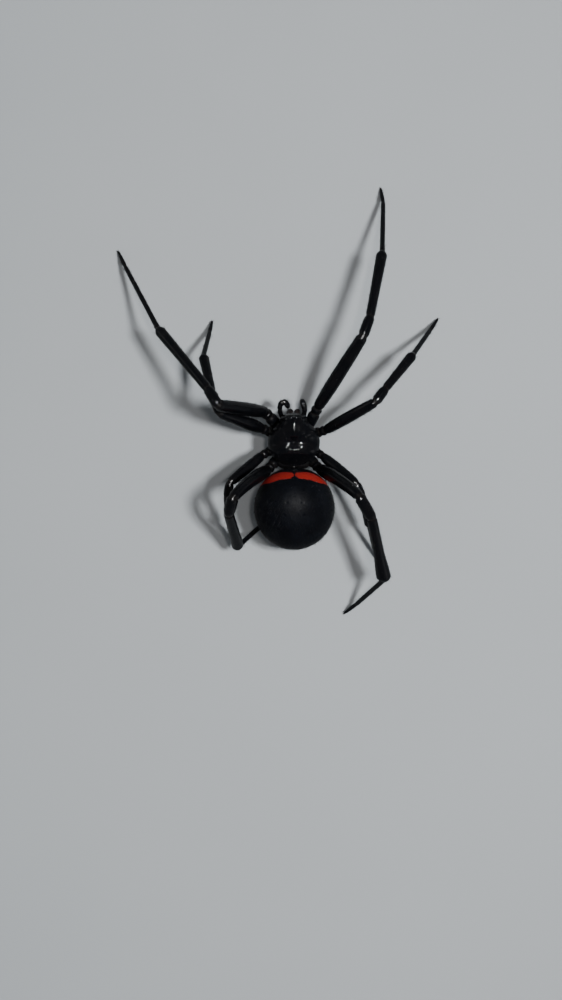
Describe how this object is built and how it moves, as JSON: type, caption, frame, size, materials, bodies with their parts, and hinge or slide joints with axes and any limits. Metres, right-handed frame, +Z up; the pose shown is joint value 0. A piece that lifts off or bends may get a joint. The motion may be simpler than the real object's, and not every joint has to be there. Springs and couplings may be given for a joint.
{
  "type": "black widow spider",
  "caption": "Life-size still model of a female black widow spider in a walking pose, with a globe-shaped black abdomen, a red band at its front, and long thin bent legs.",
  "frame": {"origin": "bottom centre of the box round the standing spider, on the surface that it stands on", "axes": "+Z up, -Y the way the head points, +X to the spider's own left"},
  "size_m": [0.0266, 0.0352, 0.009],
  "materials": {
    "shell": "polished near-black shell with a faint blue sheen",
    "leg_shell": "glossy near-black shell with fine bristles, a little brown at the joints",
    "abdomen_skin": "satin near-black skin with short fine hair, a red band at the front and a red hourglass below",
    "joint_skin": "dark brown soft skin",
    "jaw": "glossy dark red-brown shell",
    "eye": "polished black lens"
  },
  "bodies": {
    "root": {"cephalothorax": "shell", "eye_front_middle_left": "eye", "eye_front_middle_right": "eye", "eye_front_side_left": "eye", "eye_front_side_right": "eye", "eye_rear_middle_left": "eye", "eye_rear_middle_right": "eye", "eye_rear_side_left": "eye", "eye_rear_side_right": "eye", "sternum": "shell", "abdomen": "abdomen_skin", "pedicel": "joint_skin", "spinnerets": "joint_skin", "chelicera_left": "jaw", "palp_left": "leg_shell", "leg_left_1_coxa": "leg_shell", "leg_left_1_femur": "leg_shell", "leg_left_1_patella": "leg_shell", "leg_left_1_tibia": "leg_shell", "leg_left_1_foot": "leg_shell", "leg_left_2_coxa": "leg_shell", "leg_left_2_femur": "leg_shell", "leg_left_2_patella": "leg_shell", "leg_left_2_tibia": "leg_shell", "leg_left_2_foot": "leg_shell", "leg_left_3_coxa": "leg_shell", "leg_left_3_femur": "leg_shell", "leg_left_3_patella": "leg_shell", "leg_left_3_tibia": "leg_shell", "leg_left_3_foot": "leg_shell", "leg_left_4_coxa": "leg_shell", "leg_left_4_femur": "leg_shell", "leg_left_4_patella": "leg_shell", "leg_left_4_tibia": "leg_shell", "leg_left_4_foot": "leg_shell", "chelicera_right": "jaw", "palp_right": "leg_shell", "leg_right_1_coxa": "leg_shell", "leg_right_1_femur": "leg_shell", "leg_right_1_patella": "leg_shell", "leg_right_1_tibia": "leg_shell", "leg_right_1_foot": "leg_shell", "leg_right_2_coxa": "leg_shell", "leg_right_2_femur": "leg_shell", "leg_right_2_patella": "leg_shell", "leg_right_2_tibia": "leg_shell", "leg_right_2_foot": "leg_shell", "leg_right_3_coxa": "leg_shell", "leg_right_3_femur": "leg_shell", "leg_right_3_patella": "leg_shell", "leg_right_3_tibia": "leg_shell", "leg_right_3_foot": "leg_shell", "leg_right_4_coxa": "leg_shell", "leg_right_4_femur": "leg_shell", "leg_right_4_patella": "leg_shell", "leg_right_4_tibia": "leg_shell", "leg_right_4_foot": "leg_shell"}
  },
  "joints": []
}
